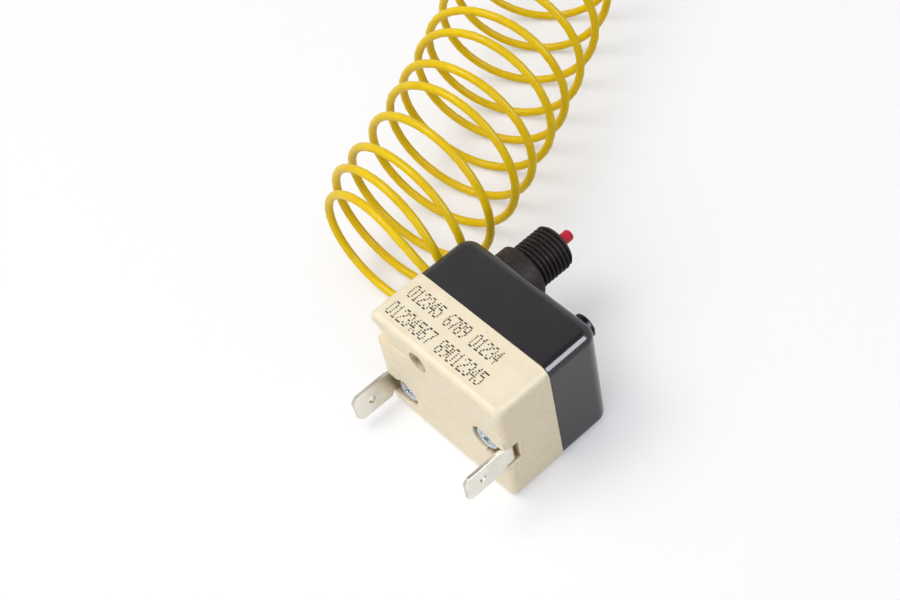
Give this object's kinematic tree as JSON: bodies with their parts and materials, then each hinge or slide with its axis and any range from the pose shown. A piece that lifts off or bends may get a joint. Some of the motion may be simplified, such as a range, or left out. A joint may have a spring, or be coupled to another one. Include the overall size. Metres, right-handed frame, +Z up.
{
  "type": "capillary safety thermostat",
  "caption": "Manual-reset safety thermostat with a pale and dark two-part housing, side terminals, threaded neck with red reset button and a curled yellow capillary ending in a bulb.",
  "frame": {"origin": "on the surface the housing lies on, under the middle of the housing, tabs and neck together, the free capillary left out", "axes": "+Z up from the side the housing lies on, +Y from the terminals to the reset neck, along the neck, +X towards the end away from the capillary"},
  "size_m": [0.1197, 0.1786, 0.035],
  "materials": {
    "pale_moulding": "semi-matt moulded thermoset",
    "dark_moulding": "satin moulded phenolic",
    "laminate": "paper laminate",
    "neck_plastic": "matt moulded phenolic",
    "red_plastic": "smooth",
    "spring_steel": "drawn wire and rolled leaf",
    "nickel_plate": "nickel-plated, stamped",
    "zinc_steel": "zinc-plated",
    "brass": "stamped and turned",
    "contact_silver": "silver alloy",
    "bronze_leaf": "rolled bronze strip",
    "steatite": "unglazed",
    "stainless": "pressed, welded rim",
    "black_screw": "blackened steel",
    "copper": "drawn copper, slightly dull",
    "yellow_sleeve": "soft vinyl sleeve"
  },
  "bodies": {
    "housing": {"base_moulding": "pale_moulding", "cap_moulding": "dark_moulding", "partition_plate": "laminate", "neck_bush": "neck_plastic", "reset_spring": "spring_steel", "terminal_left": "nickel_plate", "terminal_right": "nickel_plate", "terminal_screw_left": "zinc_steel", "terminal_screw_right": "zinc_steel", "contact_rail": "brass", "arm_rail": "brass", "fixed_contact": "contact_silver", "arm_pivot_pin": "zinc_steel", "diaphragm_capsule": "stainless", "calibration_screw": "brass", "cap_screw_upper": "black_screw", "cap_screw_lower": "black_screw", "capillary_inner": "copper", "capillary_lead": "yellow_sleeve", "capillary_curl": "yellow_sleeve", "capillary_tail": "yellow_sleeve", "capillary_coil": "yellow_sleeve", "sensing_bulb": "copper"},
    "reset": {"reset_plunger": "red_plastic"},
    "arm": {"contact_arm": "bronze_leaf", "moving_contact": "contact_silver", "snap_spring": "spring_steel"},
    "pin": {"push_pin": "steatite"}
  },
  "joints": [
    {"name": "reset_slide", "type": "slide", "parent": "housing", "child": "reset", "axis": [0, -1, 0], "range_m": [0, 0.002], "stiffness_N_per_m": 300, "springref_m": -0.002, "deforming": ["reset_spring"]},
    {"name": "arm_swing", "type": "hinge", "parent": "housing", "child": "arm", "pos_m": [0.0018, -0.00795, 0.0135], "axis": [0, 0, -1], "range_deg": [0, 4.5], "stiffness_Nm_per_rad": 0.02},
    {"name": "pin_slide", "type": "slide", "parent": "housing", "child": "pin", "axis": [0, -1, 0], "range_m": [0, 0.00026]}
  ],
  "couplings": [
    {"joint": "pin_slide", "follows": "arm_swing", "m_per_rad": 0.0023}
  ]
}
